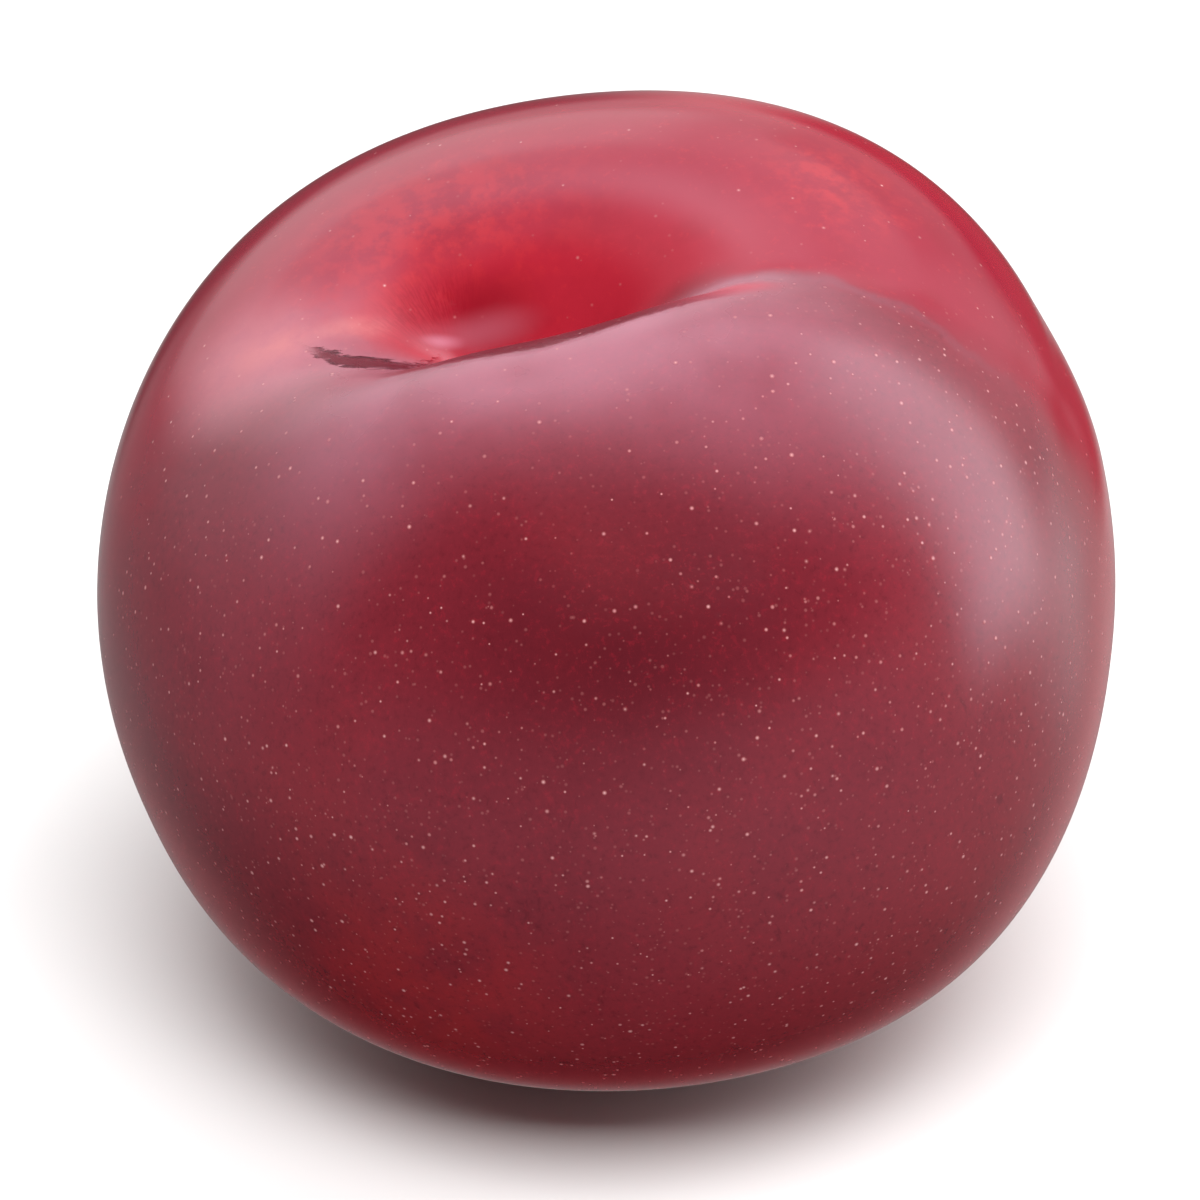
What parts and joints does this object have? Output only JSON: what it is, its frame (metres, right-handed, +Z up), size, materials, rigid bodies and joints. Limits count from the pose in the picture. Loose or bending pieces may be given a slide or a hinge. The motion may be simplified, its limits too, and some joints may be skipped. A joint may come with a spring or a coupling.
{
  "type": "plum",
  "caption": "Whole round plum with a deep stem hollow and a soft suture down one side; it lies free on a small flat spot.",
  "frame": {"origin": "on the flat spot that the fruit rests on, straight below its centre of mass", "axes": "+Z up; the suture runs down the +X side, the front cheek faces -Y, and the stem hollow looks up, leaning to -X and -Y"},
  "size_m": [0.0579, 0.0591, 0.0509],
  "materials": {
    "plum_skin": "smooth waxy skin, burgundy on the front cheek and crimson behind, with fine pale dots and a thin bloom"
  },
  "bodies": {
    "root": {"plum": "plum_skin"}
  },
  "joints": []
}
